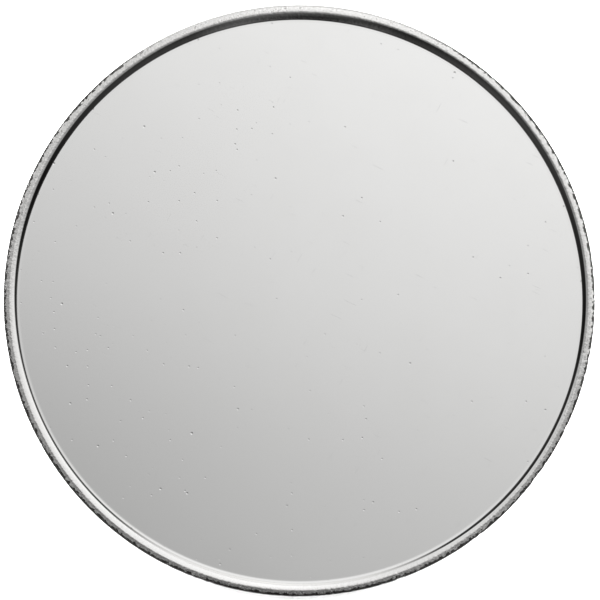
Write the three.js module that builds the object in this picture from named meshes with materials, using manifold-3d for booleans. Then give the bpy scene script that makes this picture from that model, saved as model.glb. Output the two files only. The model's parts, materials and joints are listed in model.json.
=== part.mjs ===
// A round, coin-size display frame, standing on its easel leg and leaning back: a press-on bezel
// holds a blank polished round in a drawn case, and a back cover carries the folding leg.
// Millimetres. Every piece is drawn with the frame lying face up: +Z out of the face, +Y to the
// frame's top. The whole group is then stood up: +Z up, face towards -Y, origin on the table.
import * as THREE from "three";
import { mergeVertices } from "three/addons/utils/BufferGeometryUtils.js";
import Module from "manifold-3d";

// Driving dimensions
const OUTER_RADIUS = 21; // over the bezel
const DISC_RADIUS = 20.3; // the round that the frame holds, 40.6 across
const DISC_THICKNESS = 2.9;
const BEAD_RADIUS = 0.46; // the rolled bead round the face
const SKIRT_WALL = 0.34; // bezel below its bead
const CASE_WALL = 0.27;
const SLIP = 0.05; // radial clearance between pieces that slide past each other
const FIT_GAP = 0.02; // between pieces that are clamped or glued together
const PAD_PROUD = 0.4; // rubber pads below the back cover
const COVER_THICKNESS = 2.4;
const POCKET_FLOOR = 0.5; // metal left over the leg's pocket
const CASE_FLOOR = 0.6;
const CUSHION_THICKNESS = 0.58;
const LINER_THICKNESS = 0.26;
const PIN_RADIUS = 0.35;
const PIN_CLEARANCE = 0.03;
const HINGE_Y = 12; // pin above the frame's centre
const BARREL_RADIUS = 0.8;
const LEG_THICKNESS = 1;
const LEG_OPEN_DEG = 35; // from folded flat to its stop
const LEAN_DEG = 23.5; // the face leans back from upright
const ROUND_STEPS = 96; // facets round the large rings
const HOLE_STEPS = 20; // facets round holes, pins and screws

// Levels up the stack, from the table to the face
const COVER_BACK = PAD_PROUD;
const COVER_FRONT = COVER_BACK + COVER_THICKNESS - FIT_GAP;
const POCKET_CEILING = COVER_FRONT - POCKET_FLOOR;
const CASE_BACK = COVER_FRONT + FIT_GAP;
const CASE_FLOOR_TOP = CASE_BACK + CASE_FLOOR;
const FLANGE_TOP = CASE_FLOOR_TOP + 0.1;
const CUSHION_BACK = CASE_FLOOR_TOP + FIT_GAP;
const LINER_BACK = CUSHION_BACK + CUSHION_THICKNESS + FIT_GAP;
const DISC_BACK = LINER_BACK + LINER_THICKNESS + FIT_GAP;
const DISC_FRONT = DISC_BACK + DISC_THICKNESS;
const LIP_BACK = DISC_FRONT + FIT_GAP;
const SKIRT_BACK = FLANGE_TOP + 0.1; // a fine parting line shows above the flange
const HINGE_Z = POCKET_CEILING - BARREL_RADIUS - 0.08;

// Radii worked out from the driving ones
const FLANGE_RADIUS = OUTER_RADIUS - 0.2; // a nail gets under the bezel all round
const COVER_RADIUS = OUTER_RADIUS - 0.4;
const CASE_BORE = DISC_RADIUS + SLIP;
const CASE_OUTER = CASE_BORE + CASE_WALL;
const SKIRT_BORE = OUTER_RADIUS - SKIRT_WALL;
const SOFT_RADIUS = DISC_RADIUS - 0.1; // cushion and liner

// The leg, seen from behind: straight at the hinge, flared to a wide foot
const LEG_HALF_WIDTH = 2.95;
const FOOT_HALF_WIDTH = 6;
const FLARE_TOP_Y = -6;
const FLARE_END_Y = -14.6;
const LEG_END_Y = -16.4;
const FOOT_ARC_RADIUS = 18.7; // about the frame's centre
const POCKET_MARGIN = 0.5;
const TONGUE = { halfWidth: 4.4, thickness: 0.5, endY: -17.5 };
const SLOT = { halfWidth: 1.1, topY: 6.5, endY: -5.5 };
const PULL_HOLE = { y: -11.2, radius: 1.9 }; // a nail catches it to swing the leg out
const FOOT_THICKNESS = 1.4;

// The hinge bracket
const EAR_INNER = 3.22;
const EAR_OUTER = 3.8;
const EAR_RADIUS = 0.82;
const BRACKET_NEAR_Y = 13.6;
const BRACKET_FAR_Y = 16.5;
const BRACKET_THICKNESS = 0.4;
const BRACKET_FRONT = POCKET_CEILING - FIT_GAP;
const BRACKET_BACK = BRACKET_FRONT - BRACKET_THICKNESS;
const RIVET = { x: 1.9, y: 15.2, shank: 0.4, head: 0.75, headHeight: 0.42, tail: 0.62 };
const WASHER = { inner: 2.98, thickness: 0.2, radius: 0.76 };
const PIN_HEAD = { radius: 0.58, thickness: 0.26 };

// Fasteners and pads, at the same places in every piece that they pass through
const SCREW = { head: 1, shank: 0.5, cone: 0.5, slotWidth: 0.26, slotDepth: 0.24 };
const SCREW_CIRCLE = 17.9;
const SCREW_DEGREES = [58, 122, 238, 302];
const NUT = { radius: 1.15, thickness: 0.54, bore: 0.55 };
const PAD = { radius: 1.7, recess: 0.4, edge: 0.25 };
const PAD_PLACES = [[14.9, 6.8], [-14.9, 6.8], [-14.9, -6.8], [14.9, -6.8]];

const wasm = await Module();
wasm.setup();

// ---------------------------------------------------------------- solids and booleans

// A closed three.js geometry as a manifold-3d solid.
function solidOf(geometry) {
  const plain = geometry.clone();
  plain.deleteAttribute("normal");
  plain.deleteAttribute("uv");
  const merged = mergeVertices(plain, 1e-4);
  return new wasm.Manifold(
    new wasm.Mesh({
      numProp: 3,
      vertProperties: merged.attributes.position.array,
      triVerts: new Uint32Array(merged.index.array),
    }),
  );
}

// A manifold-3d solid back as a three.js geometry.
function geometryOf(solid) {
  const mesh = solid.getMesh();
  const geometry = new THREE.BufferGeometry();
  geometry.setAttribute("position", new THREE.BufferAttribute(mesh.vertProperties, 3));
  geometry.setIndex(new THREE.BufferAttribute(mesh.triVerts, 1));
  const flat = geometry.toNonIndexed();
  flat.computeVertexNormals();
  return flat;
}

function join(first, ...others) {
  let solid = solidOf(first);
  for (const other of others) solid = solid.add(solidOf(other));
  return geometryOf(solid);
}

function cut(first, ...cutters) {
  let solid = solidOf(first);
  for (const cutter of cutters) solid = solid.subtract(solidOf(cutter));
  return geometryOf(solid);
}

// A profile of [radius, z] points turned about +Z. The points run anticlockwise, so faces point out.
function turned(profile, steps) {
  const points = profile.map(([radius, z]) => new THREE.Vector2(radius, z));
  return new THREE.LatheGeometry(points, steps).rotateX(Math.PI / 2);
}

// A closed ring's profile, ending where it starts.
function turnedRing(profile, steps) {
  return turned([...profile, profile[0]], steps);
}

// A flat shape in X and Y, raised from one level to another.
function raised(shape, low, high, curveSegments = 12) {
  const settings = { depth: high - low, bevelEnabled: false, curveSegments };
  return new THREE.ExtrudeGeometry(shape, settings).translate(0, 0, low);
}

// A shape drawn in Y and Z, extruded along X.
const SIDEWAYS = new THREE.Matrix4().makeBasis(
  new THREE.Vector3(0, 1, 0),
  new THREE.Vector3(0, 0, 1),
  new THREE.Vector3(1, 0, 0),
);

function sideways(shape, low, high, curveSegments = 10) {
  return raised(shape, low, high, curveSegments).applyMatrix4(SIDEWAYS);
}

function box(low, high) {
  const size = high.map((value, i) => value - low[i]);
  const middle = high.map((value, i) => (value + low[i]) / 2);
  return new THREE.BoxGeometry(...size).translate(...middle);
}

function uprightPeg(x, y, radius, low, high, steps = HOLE_STEPS) {
  return turned([[0, low], [radius, low], [radius, high], [0, high]], steps).translate(x, y, 0);
}

// A peg along X, centred on the hinge axis.
function hingePeg(radius, low, high) {
  const outline = new THREE.Shape().absarc(HINGE_Y, HINGE_Z, radius, 0, 2 * Math.PI);
  return sideways(outline, low, high, HOLE_STEPS);
}

function onScrewCircle(degrees) {
  const angle = THREE.MathUtils.degToRad(degrees);
  return [SCREW_CIRCLE * Math.cos(angle), SCREW_CIRCLE * Math.sin(angle)];
}

// Points on an arc in the profile plane, from one angle to another in degrees.
function arcPoints(centreRadius, centreZ, radius, from, to, steps) {
  return Array.from({ length: steps + 1 }, (_, i) => {
    const angle = THREE.MathUtils.degToRad(from + ((to - from) * i) / steps);
    return [centreRadius + radius * Math.cos(angle), centreZ + radius * Math.sin(angle)];
  });
}

// ---------------------------------------------------------------- the table and the leg's swing

const lean = THREE.MathUtils.degToRad(LEAN_DEG);
const legOpen = THREE.MathUtils.degToRad(LEG_OPEN_DEG);
const STAND_UP = Math.PI / 2 - lean; // turn about X that stands the face-up frame on its leg

// How high a point of the face-up frame is along the true vertical, once the frame stands.
function heightOf(y, z) {
  return y * Math.cos(lean) + z * Math.sin(lean);
}

// The table lies just under the flange's lowest point, so the bezel never touches it.
const TABLE = heightOf(-FLANGE_RADIUS, CASE_BACK) - 0.02;

// Everything below the table, as a block in the face-up frame.
function underTable() {
  const up = new THREE.Vector3(0, Math.cos(lean), Math.sin(lean));
  const block = new THREE.BoxGeometry(80, 120, 20).translate(0, 0, -10);
  return block.rotateX(-STAND_UP).translate(...up.multiplyScalar(TABLE));
}

// The same block as the folded leg sees it, before it swings out about its pin.
function underTableForLeg() {
  return underTable()
    .translate(0, -HINGE_Y, -HINGE_Z)
    .rotateX(-legOpen)
    .translate(0, HINGE_Y, HINGE_Z);
}

// ---------------------------------------------------------------- front

// Drawn ring: a half-round bead over the round's edge, and a thin skirt that presses on the case.
function frontBezel() {
  const beadCentre = OUTER_RADIUS - BEAD_RADIUS;
  return turnedRing(
    [
      [SKIRT_BORE, LIP_BACK],
      [SKIRT_BORE, SKIRT_BACK],
      [OUTER_RADIUS - 0.14, SKIRT_BACK],
      [OUTER_RADIUS, SKIRT_BACK + 0.14],
      ...arcPoints(beadCentre, LIP_BACK, BEAD_RADIUS, 0, 180, 10),
    ],
    ROUND_STEPS,
  );
}

// The blank round, with both its edges eased.
function displayDisc() {
  const ease = 0.15;
  return turned(
    [
      [0, DISC_BACK],
      [DISC_RADIUS - ease, DISC_BACK],
      [DISC_RADIUS, DISC_BACK + ease],
      [DISC_RADIUS, DISC_FRONT - ease],
      [DISC_RADIUS - ease, DISC_FRONT],
      [0, DISC_FRONT],
    ],
    ROUND_STEPS,
  );
}

function softRound(low, thickness) {
  const high = low + thickness;
  return turned([[0, low], [SOFT_RADIUS, low], [SOFT_RADIUS, high], [0, high]], ROUND_STEPS);
}

// The foam is cut away round the clinch nuts.
function foamCushion() {
  const clearances = SCREW_DEGREES.map((degrees) => {
    const [x, y] = onScrewCircle(degrees);
    return uprightPeg(x, y, NUT.radius + 0.35, CUSHION_BACK - 1, LINER_BACK + 1);
  });
  return cut(softRound(CUSHION_BACK, CUSHION_THICKNESS), ...clearances);
}

// ---------------------------------------------------------------- case and cover

// Shallow drawn cup with a flange that the bezel seats on.
function caseBody() {
  const wallTop = LIP_BACK - 0.3;
  const cup = turned(
    [
      [0, CASE_BACK],
      [FLANGE_RADIUS - 0.2, CASE_BACK],
      [FLANGE_RADIUS, CASE_BACK + 0.2],
      [FLANGE_RADIUS, FLANGE_TOP],
      [CASE_OUTER, FLANGE_TOP],
      [CASE_OUTER, wallTop - 0.12],
      [CASE_OUTER - 0.12, wallTop],
      [CASE_BORE, wallTop],
      [CASE_BORE, CASE_FLOOR_TOP],
      [0, CASE_FLOOR_TOP],
    ],
    ROUND_STEPS,
  );
  const screwHoles = SCREW_DEGREES.map((degrees) => {
    const [x, y] = onScrewCircle(degrees);
    return uprightPeg(x, y, NUT.bore, CASE_BACK - 1, CASE_FLOOR_TOP + 1);
  });
  return cut(cup, ...screwHoles);
}

// The leg's outline from behind, grown all round for its pocket.
function legOutline(grow, endY) {
  const root = LEG_HALF_WIDTH + grow;
  const foot = FOOT_HALF_WIDTH + grow;
  const middleY = (FLARE_TOP_Y + FLARE_END_Y) / 2;
  const outline = new THREE.Shape();
  outline.moveTo(root, HINGE_Y);
  outline.lineTo(-root, HINGE_Y);
  outline.lineTo(-root, FLARE_TOP_Y);
  outline.bezierCurveTo(-root, middleY, -foot, middleY, -foot, FLARE_END_Y);
  outline.lineTo(-foot, endY);
  return { outline, root, foot, middleY };
}

// Closes an outline that ends at the foot's left side, back up its right side.
function closeRightSide({ outline, root, foot, middleY }) {
  outline.lineTo(foot, FLARE_END_Y);
  outline.bezierCurveTo(foot, middleY, root, middleY, root, FLARE_TOP_Y);
  outline.lineTo(root, HINGE_Y);
  return outline;
}

// The foot's rounded end, which follows the frame's own edge.
function footArc(outline, halfWidth, radius) {
  const half = Math.asin(halfWidth / radius);
  outline.absarc(0, 0, radius, -Math.PI / 2 - half, -Math.PI / 2 + half, false);
}

function legPocket() {
  const radius = FOOT_ARC_RADIUS + POCKET_MARGIN;
  const leg = legOutline(POCKET_MARGIN, FLARE_END_Y - 0.5);
  footArc(leg.outline, leg.foot, radius);
  const legShape = closeRightSide(leg);
  const hinge = new THREE.Shape();
  const halfWidth = EAR_OUTER + PIN_HEAD.thickness + 0.4;
  const corner = 0.8;
  const low = HINGE_Y - 2;
  const high = BRACKET_FAR_Y + 0.35;
  hinge.moveTo(-halfWidth, low);
  hinge.lineTo(halfWidth, low);
  hinge.lineTo(halfWidth, high - corner);
  hinge.absarc(halfWidth - corner, high - corner, corner, 0, Math.PI / 2);
  hinge.lineTo(-halfWidth + corner, high);
  hinge.absarc(-halfWidth + corner, high - corner, corner, Math.PI / 2, Math.PI);
  hinge.closePath();
  const below = COVER_BACK - 1;
  return join(raised(legShape, below, POCKET_CEILING), raised(hinge, below, POCKET_CEILING, 5));
}

// A countersunk hole: wide at the back, straight after its cone.
function countersunkHole(x, y) {
  const slack = 0.06;
  const wide = SCREW.head + slack;
  const narrow = SCREW.shank + slack;
  const coneEnd = COVER_BACK + SCREW.cone + slack;
  const profile = [
    [0, COVER_BACK - 1],
    [wide, COVER_BACK - 1],
    [wide, COVER_BACK + slack],
    [narrow, coneEnd],
    [narrow, COVER_FRONT + 1],
    [0, COVER_FRONT + 1],
  ];
  return turned(profile, HOLE_STEPS).translate(x, y, 0);
}

// Where a rivet's tail is set flush into the front of the pocket's floor.
function rivetHole(x, y) {
  const slack = 0.05;
  const profile = [
    [0, POCKET_CEILING - 1],
    [RIVET.shank + slack, POCKET_CEILING - 1],
    [RIVET.shank + slack, COVER_FRONT - 0.24],
    [RIVET.tail + slack, COVER_FRONT],
    [RIVET.tail + slack, COVER_FRONT + 1],
    [0, COVER_FRONT + 1],
  ];
  return turned(profile, HOLE_STEPS).translate(x, y, 0);
}

// Die-cast cover, with a flat at its lower edge that stands on the table.
function backCover() {
  const edge = 0.35;
  const blank = turned(
    [
      [0, COVER_BACK],
      [COVER_RADIUS - edge, COVER_BACK],
      [COVER_RADIUS - edge * 0.3, COVER_BACK + edge * 0.3],
      [COVER_RADIUS, COVER_BACK + edge],
      [COVER_RADIUS, COVER_FRONT],
      [0, COVER_FRONT],
    ],
    ROUND_STEPS,
  );
  const padRecesses = PAD_PLACES.map(([x, y]) =>
    uprightPeg(x, y, PAD.radius + SLIP, COVER_BACK - 1, COVER_BACK + PAD.recess, 24),
  );
  const screwHoles = SCREW_DEGREES.map((degrees) => countersunkHole(...onScrewCircle(degrees)));
  const rivetHoles = [-RIVET.x, RIVET.x].map((x) => rivetHole(x, RIVET.y));
  return cut(blank, legPocket(), underTable(), ...padRecesses, ...screwHoles, ...rivetHoles);
}

// Slotted countersunk screw, head to the back.
function coverScrew() {
  const headBack = COVER_BACK + 0.04;
  const tip = CUSHION_BACK + NUT.thickness;
  const shank = turned(
    [
      [0, headBack],
      [SCREW.head, headBack],
      [SCREW.shank, headBack + SCREW.cone],
      [SCREW.shank, tip - 0.1],
      [SCREW.shank - 0.1, tip],
      [0, tip],
    ],
    HOLE_STEPS,
  );
  const slotTop = headBack + SCREW.slotDepth;
  const slot = box([-2, -SCREW.slotWidth / 2, headBack - 1], [2, SCREW.slotWidth / 2, slotTop]);
  return cut(shank, slot);
}

// Hexagonal clinch nut on the case's floor.
function coverNut() {
  const outline = new THREE.Shape();
  for (let corner = 0; corner < 6; corner++) {
    const angle = (corner * Math.PI) / 3;
    const point = [NUT.radius * Math.cos(angle), NUT.radius * Math.sin(angle)];
    if (corner) outline.lineTo(...point);
    else outline.moveTo(...point);
  }
  outline.closePath();
  outline.holes.push(new THREE.Path().absarc(0, 0, NUT.bore, 0, 2 * Math.PI, true));
  return raised(outline, CUSHION_BACK, CUSHION_BACK + NUT.thickness, HOLE_STEPS);
}

function rubberPad() {
  const top = COVER_BACK + PAD.recess - FIT_GAP;
  const profile = [
    [0, 0],
    [PAD.radius - PAD.edge, 0],
    [PAD.radius - PAD.edge * 0.3, PAD.edge * 0.3],
    [PAD.radius, PAD.edge],
    [PAD.radius, top],
    [0, top],
  ];
  return turned(profile, 24);
}

// ---------------------------------------------------------------- easel leg and hinge

// A plate riveted in the pocket, with an ear each side of the leg's barrel.
function hingeBracket() {
  const base = box(
    [-EAR_OUTER, BRACKET_NEAR_Y, BRACKET_BACK],
    [EAR_OUTER, BRACKET_FAR_Y, BRACKET_FRONT],
  );
  const ear = new THREE.Shape();
  ear.moveTo(HINGE_Y, HINGE_Z + EAR_RADIUS);
  ear.absarc(HINGE_Y, HINGE_Z, EAR_RADIUS, Math.PI / 2, (3 * Math.PI) / 2, false);
  ear.lineTo(HINGE_Y + 1.5, HINGE_Z - EAR_RADIUS);
  ear.lineTo(BRACKET_FAR_Y, BRACKET_BACK);
  ear.lineTo(BRACKET_FAR_Y, BRACKET_FRONT);
  ear.lineTo(HINGE_Y + 0.6, BRACKET_FRONT);
  ear.closePath();
  const ears = [
    sideways(ear, EAR_INNER, EAR_OUTER),
    sideways(ear, -EAR_OUTER, -EAR_INNER),
  ];
  const rivetHoles = [-RIVET.x, RIVET.x].map((x) =>
    uprightPeg(x, RIVET.y, RIVET.shank + 0.05, BRACKET_BACK - 1, BRACKET_FRONT + 1),
  );
  const pinHole = hingePeg(PIN_RADIUS + PIN_CLEARANCE, -EAR_OUTER - 1, EAR_OUTER + 1);
  return cut(join(base, ...ears), ...rivetHoles, pinHole);
}

function hingeRivet() {
  const headFront = BRACKET_BACK - FIT_GAP;
  const tailFront = COVER_FRONT - FIT_GAP;
  const dome = arcPoints(0, headFront, 1, -90, 0, 5).map(([radius, z]) => [
    radius * RIVET.head,
    headFront + (z - headFront) * RIVET.headHeight,
  ]);
  return turned(
    [
      [0, headFront - RIVET.headHeight],
      ...dome.slice(1),
      [RIVET.shank, headFront],
      [RIVET.shank, tailFront - 0.22],
      [RIVET.tail, tailFront],
      [0, tailFront],
    ],
    HOLE_STEPS,
  );
}

function hingePin() {
  const headInner = EAR_OUTER + FIT_GAP;
  const headOuter = headInner + PIN_HEAD.thickness;
  return join(
    hingePeg(PIN_RADIUS, -headOuter + 0.05, headOuter - 0.05),
    hingePeg(PIN_HEAD.radius, headInner, headOuter),
    hingePeg(PIN_HEAD.radius, -headOuter, -headInner),
  );
}

function frictionWasher() {
  const outline = new THREE.Shape().absarc(HINGE_Y, HINGE_Z, WASHER.radius, 0, 2 * Math.PI);
  const hole = PIN_RADIUS + PIN_CLEARANCE;
  outline.holes.push(new THREE.Path().absarc(HINGE_Y, HINGE_Z, hole, 0, 2 * Math.PI, true));
  return sideways(outline, WASHER.inner, WASHER.inner + WASHER.thickness, HOLE_STEPS);
}

// The heel turns inwards as the leg opens, and stops it against the pocket's ceiling.
function legRoot() {
  const heelAngle = THREE.MathUtils.degToRad(15);
  const heelReach = (POCKET_CEILING - HINGE_Z - FIT_GAP) / Math.sin(heelAngle + legOpen);
  const heelY = HINGE_Y + heelReach * Math.cos(heelAngle);
  const profile = new THREE.Shape();
  profile.moveTo(heelY, HINGE_Z + heelReach * Math.sin(heelAngle));
  profile.lineTo(HINGE_Y + 0.4, HINGE_Z + 0.69);
  profile.lineTo(HINGE_Y, HINGE_Z + BARREL_RADIUS);
  profile.absarc(HINGE_Y, HINGE_Z, BARREL_RADIUS, Math.PI / 2, (3 * Math.PI) / 2, false);
  profile.lineTo(HINGE_Y + 0.4, HINGE_Z - 0.69);
  profile.lineTo(heelY, HINGE_Z - 0.35);
  profile.closePath();
  return sideways(profile, -LEG_HALF_WIDTH, LEG_HALF_WIDTH);
}

// Stamped leg: barrel and heel at the hinge, a slot, a pull hole, and a tongue for its foot.
function easelLeg() {
  const low = HINGE_Z - LEG_THICKNESS / 2;
  const high = low + LEG_THICKNESS;
  const leg = legOutline(0, LEG_END_Y);
  leg.outline.lineTo(leg.foot, LEG_END_Y);
  const plate = raised(closeRightSide(leg), low, high);
  const tongueLow = HINGE_Z - TONGUE.thickness / 2;
  const tongue = box(
    [-TONGUE.halfWidth, TONGUE.endY, tongueLow],
    [TONGUE.halfWidth, LEG_END_Y + 0.5, tongueLow + TONGUE.thickness],
  );
  const slot = new THREE.Shape();
  slot.absarc(0, SLOT.topY, SLOT.halfWidth, 0, Math.PI, false);
  slot.absarc(0, SLOT.endY, SLOT.halfWidth, Math.PI, 2 * Math.PI, false);
  slot.closePath();
  return cut(
    join(plate, legRoot(), tongue),
    raised(slot, low - 1, high + 1),
    uprightPeg(0, PULL_HOLE.y, PULL_HOLE.radius, low - 1, high + 1, 28),
    hingePeg(PIN_RADIUS + PIN_CLEARANCE, -LEG_HALF_WIDTH - 1, LEG_HALF_WIDTH + 1),
  );
}

// Moulded rubber foot, pushed on the leg's tongue. Its sole is level with the table once the leg is open.
function legFoot() {
  const top = LEG_END_Y - 0.03;
  const outline = new THREE.Shape();
  outline.moveTo(FOOT_HALF_WIDTH, top);
  outline.lineTo(-FOOT_HALF_WIDTH, top);
  footArc(outline, FOOT_HALF_WIDTH, FOOT_ARC_RADIUS);
  outline.closePath();
  const low = HINGE_Z - FOOT_THICKNESS / 2;
  const slack = 0.04;
  const reach = TONGUE.thickness / 2 + slack;
  const socket = box(
    [-TONGUE.halfWidth - slack, TONGUE.endY - slack, HINGE_Z - reach],
    [TONGUE.halfWidth + slack, LEG_END_Y + 1, HINGE_Z + reach],
  );
  return cut(raised(outline, low, low + FOOT_THICKNESS, 8), socket, underTableForLeg());
}

// ---------------------------------------------------------------- finishes and assembly

function finish(color, metalness, roughness) {
  return { color, metalness, roughness };
}

const FINISHES = {
  polishedRim: finish(0xc9c8c4, 1, 0.2),
  polishedDisc: finish(0xd6d6d4, 1, 0.15),
  satinCase: finish(0xa9aaab, 1, 0.35),
  castCover: finish(0x8b8d90, 1, 0.45),
  brushedSteel: finish(0xb4b5b6, 1, 0.3),
  brass: finish(0xb8995a, 1, 0.35),
  blackRubber: finish(0x1b1b1c, 0, 0.85),
  nylon: finish(0xe6e2d6, 0, 0.55),
  blackFelt: finish(0x17171a, 0, 0.95),
  greyFoam: finish(0x55565a, 0, 0.95),
};

// Face up, before it is stood on its leg.
const faceUp = new THREE.Group();

function add(name, geometry, finishName, parent = faceUp) {
  const mesh = new THREE.Mesh(geometry, new THREE.MeshStandardMaterial(FINISHES[finishName]));
  mesh.name = name;
  parent.add(mesh);
  return mesh;
}

add("front_bezel", frontBezel(), "polishedRim");
add("display_disc", displayDisc(), "polishedDisc");
add("felt_liner", softRound(LINER_BACK, LINER_THICKNESS), "blackFelt");
add("foam_cushion", foamCushion(), "greyFoam");
add("case_body", caseBody(), "satinCase");
add("back_cover", backCover(), "castCover");

SCREW_DEGREES.forEach((degrees, i) => {
  const [x, y] = onScrewCircle(degrees);
  add(`cover_screw_${i + 1}`, coverScrew(), "brushedSteel").position.set(x, y, 0);
  add(`cover_nut_${i + 1}`, coverNut(), "brass").position.set(x, y, 0);
});

PAD_PLACES.forEach(([x, y], i) => {
  add(`rubber_pad_${i + 1}`, rubberPad(), "blackRubber").position.set(x, y, 0);
});

add("hinge_bracket", hingeBracket(), "brushedSteel");
add("hinge_pin", hingePin(), "brushedSteel");
add("hinge_rivet_left", hingeRivet(), "brass").position.set(-RIVET.x, RIVET.y, 0);
add("hinge_rivet_right", hingeRivet(), "brass").position.set(RIVET.x, RIVET.y, 0);
add("friction_washer_right", frictionWasher(), "nylon");
add("friction_washer_left", frictionWasher(), "nylon").position.x =
  -2 * WASHER.inner - WASHER.thickness;

// The leg and its foot, swung out about the pin.
const leg = new THREE.Group();
leg.position.set(0, HINGE_Y, HINGE_Z);
leg.rotation.x = legOpen;
faceUp.add(leg);
add("easel_leg", easelLeg().translate(0, -HINGE_Y, -HINGE_Z), "brushedSteel", leg);
add("leg_foot", legFoot().translate(0, -HINGE_Y, -HINGE_Z), "blackRubber", leg);

// Stood up, with the table at Z 0 and the origin under the middle of the whole frame.
faceUp.rotation.x = STAND_UP;
faceUp.updateMatrixWorld(true);
const reach = new THREE.Box3().setFromObject(faceUp, true);
faceUp.position.set(0, -(reach.min.y + reach.max.y) / 2, -TABLE);

const coinDisplayFrame = new THREE.Group();
coinDisplayFrame.name = "coin_display_frame";
coinDisplayFrame.add(faceUp);

export default coinDisplayFrame;
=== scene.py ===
# %% [markdown]
# # A round display frame on its easel leg
# The real object is a press-together frame, 42 mm across. A beaded, polished bezel holds a blank
# polished round in a drawn metal case. A cast cover closes the back and carries a folding steel
# leg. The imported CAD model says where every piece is. Each piece is remodelled here with the
# softened edges, wear and finishes that a hand would feel, and then takes the place of its CAD
# node.

# %% Load the fixed frame
import json
import math
import random

import bpy
from mathutils import Matrix, Vector, noise


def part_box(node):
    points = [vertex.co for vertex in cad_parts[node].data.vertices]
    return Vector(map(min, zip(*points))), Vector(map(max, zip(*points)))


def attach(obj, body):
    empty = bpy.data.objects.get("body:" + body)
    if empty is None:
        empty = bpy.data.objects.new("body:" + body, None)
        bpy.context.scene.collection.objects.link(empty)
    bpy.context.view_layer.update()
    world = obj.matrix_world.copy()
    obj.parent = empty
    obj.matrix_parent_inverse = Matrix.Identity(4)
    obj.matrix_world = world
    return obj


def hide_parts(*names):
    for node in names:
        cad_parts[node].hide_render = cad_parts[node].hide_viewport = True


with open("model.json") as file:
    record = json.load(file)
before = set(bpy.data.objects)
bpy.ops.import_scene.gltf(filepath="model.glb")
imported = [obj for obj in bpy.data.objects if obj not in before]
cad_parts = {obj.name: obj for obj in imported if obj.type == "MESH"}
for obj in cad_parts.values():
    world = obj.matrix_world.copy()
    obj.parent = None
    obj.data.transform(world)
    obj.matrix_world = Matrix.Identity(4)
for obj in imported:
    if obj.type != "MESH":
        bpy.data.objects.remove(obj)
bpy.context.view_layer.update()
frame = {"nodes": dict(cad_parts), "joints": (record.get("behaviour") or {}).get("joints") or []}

print("CAD nodes:", sorted(frame["nodes"]))

# %% [markdown]
# The pieces are easiest to draw in millimetres with the frame lying face up: X to the right, Y to
# the frame's top, Z out of the face. One matrix then stands a finished piece up in its place. The
# bezel's slide joint gives the way that the face looks, and the disc's box gives the middle.

# %% The matrix that stands a piece up
MM = 0.001
joints = {joint["name"]: joint for joint in frame["joints"]}
face_out = Vector(joints["bezel_pull"]["axis"]).normalized()
face_right = Vector((1, 0, 0))
face_up = face_out.cross(face_right)
DISC_MIDDLE_Z = 5.75  # half way through the disc, above the back of the pads
disc_low, disc_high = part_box("display_disc")
face_origin = (disc_low + disc_high) / 2 - face_out * DISC_MIDDLE_Z * MM
turn = Matrix((face_right, face_up, face_out)).transposed()
STAND = Matrix.Translation(face_origin) @ turn.to_4x4() @ Matrix.Scale(MM, 4)
print("the face looks along", [round(c, 4) for c in face_out])

# %% [markdown]
# The leg is drawn folded flat, and rests 35 degrees open. Its hinge joint gives the axis. Turning
# the folded leg about that axis, before the whole frame is stood up, opens it.

# %% The matrix that opens the leg
LEG_OPEN = math.radians(-min(joints["leg_fold"]["range_deg"]))
HINGE = STAND.inverted() @ Vector(joints["leg_fold"]["pos_m"])
HINGE_Y, HINGE_Z = HINGE.y, HINGE.z
to_hinge = Matrix.Translation((0, HINGE_Y, HINGE_Z))
STAND_LEG = STAND @ to_hinge @ Matrix.Rotation(LEG_OPEN, 4, "X") @ to_hinge.inverted()
print("hinge at", round(HINGE_Y, 3), round(HINGE_Z, 3), "mm in the face-up drawing")

# %% [markdown]
# A floor and a camera come first, so that every later step can be looked at. The camera looks
# straight at the face, as one holds a round up to read it. The lens is long enough that the
# bead's outer wall hardly shows.

# %% Floor and camera
scene = bpy.context.scene
LENS = 200.0
SENSOR = 36.0
VIEW_WIDTH = 42.6  # millimetres across the picture, at the bead
BEAD_LEVEL = 7.22
CAMERA_NUDGE = Vector((0.055, 0.043, 0))  # the ring sits a hair off the middle
FLOOR_RADIUS = 3.0  # metres, so that its edge is far out of sight


def fresh_start():
    """Object mode with nothing selected: an operator acts on all that is selected."""
    if bpy.context.object and bpy.context.object.mode != "OBJECT":
        bpy.ops.object.mode_set(mode="OBJECT")
    bpy.ops.object.select_all(action="DESELECT")


fresh_start()
distance = VIEW_WIDTH * LENS / SENSOR + BEAD_LEVEL
bpy.ops.object.camera_add()
camera = bpy.context.object
camera.name = "camera"
camera.data.lens = LENS
camera.data.sensor_width = SENSOR
camera.data.clip_start = 0.01
camera.location = STAND @ (CAMERA_NUDGE + Vector((0, 0, distance)))
camera.rotation_euler = turn.to_euler()
scene.camera = camera

bpy.ops.mesh.primitive_circle_add(vertices=64, radius=FLOOR_RADIUS, fill_type="NGON")
floor = bpy.context.object
floor.name = "floor"
print("camera is", round(distance, 1), "mm in front of the pads' backs")

# %% [markdown]
# ## Helpers for modelling
# A turned piece starts as one point of its profile. The point is extruded along the profile, and
# the line is spun about the axis, as on a lathe. Doubles are merged before the normals are
# recalculated, so that poles and the seam are closed and the faces point outwards.


# %% Draw a profile
MERGE_GAP = 1e-4  # millimetres; points nearer than this become one


def pick(obj):
    """Only this piece is selected, and it is the active one."""
    fresh_start()
    obj.select_set(True)
    bpy.context.view_layer.objects.active = obj


def to_edit(obj):
    pick(obj)
    bpy.ops.object.mode_set(mode="EDIT")
    bpy.ops.mesh.select_all(action="SELECT")


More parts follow.
